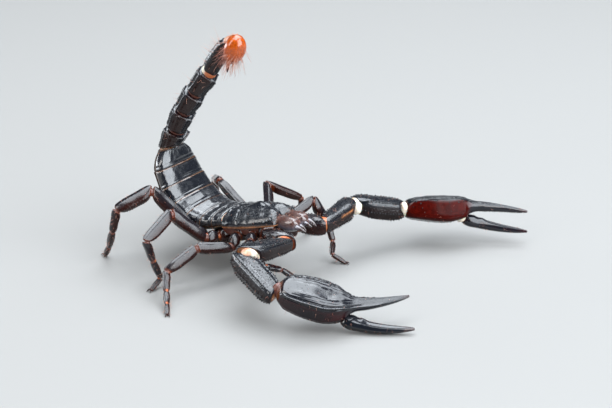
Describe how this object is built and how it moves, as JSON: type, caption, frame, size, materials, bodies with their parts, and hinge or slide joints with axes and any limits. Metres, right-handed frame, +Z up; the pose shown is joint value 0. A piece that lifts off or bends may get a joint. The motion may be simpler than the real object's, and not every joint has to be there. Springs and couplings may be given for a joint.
{
  "type": "scorpion",
  "caption": "Life-size forest scorpion standing still in its warning stance, with long claw arms spread wide and the tail raised over the back.",
  "frame": {"origin": "middle of the bounding box at floor level, under the raised tail and the fore body", "axes": "+X towards the head, +Y the animal's left, +Z up from the floor that it stands on"},
  "size_m": [0.099, 0.0856, 0.0603],
  "materials": {
    "shell": "blue-black glossy shell plate, finely granular on the back of the fore body, arms and tail ridges",
    "oxblood": "dark red-brown glossy shell of the underside, the feet and the lower faces of the legs",
    "sting": "vivid orange, glossy, darkening to a near black needle tip",
    "jaw": "purple-brown, smooth and very glossy",
    "eye": "black, wet gloss",
    "comb": "pale tan, satin",
    "membrane": "cream to orange soft joint skin, fine creases, satin",
    "hair": "fine translucent reddish bristles"
  },
  "bodies": {
    "root": {"carapace": "shell", "eye_left": "eye", "eye_right": "eye", "underside": "oxblood", "jaw_left": "jaw", "jaw_right": "jaw", "abdomen_1": "shell", "abdomen_2": "shell", "abdomen_3": "shell", "abdomen_4": "shell", "abdomen_5": "shell", "abdomen_6": "shell", "abdomen_7": "shell", "comb_left": "comb", "comb_right": "comb", "tail_1": "shell", "tail_2": "shell", "tail_3": "shell", "tail_4": "shell", "tail_5": "shell", "sting": "sting", "arm_right_trochanter": "shell", "arm_right_femur": "shell", "arm_right_patella": "shell", "arm_right_hand": "shell", "arm_right_finger": "shell", "arm_left_trochanter": "shell", "arm_left_femur": "shell", "arm_left_patella": "shell", "arm_left_hand": "shell", "arm_left_finger": "shell", "leg_1_right_femur": "shell", "leg_1_right_patella": "shell", "leg_1_right_foot": "oxblood", "leg_1_left_femur": "shell", "leg_1_left_patella": "shell", "leg_1_left_foot": "oxblood", "leg_2_right_femur": "shell", "leg_2_right_patella": "shell", "leg_2_right_foot": "oxblood", "leg_2_left_femur": "shell", "leg_2_left_patella": "shell", "leg_2_left_foot": "oxblood", "leg_3_right_femur": "shell", "leg_3_right_patella": "shell", "leg_3_right_foot": "oxblood", "leg_3_left_femur": "shell", "leg_3_left_patella": "shell", "leg_3_left_foot": "oxblood", "leg_4_right_femur": "shell", "leg_4_right_patella": "shell", "leg_4_right_foot": "oxblood", "leg_4_left_femur": "shell", "leg_4_left_patella": "shell", "leg_4_left_foot": "oxblood"}
  },
  "joints": []
}
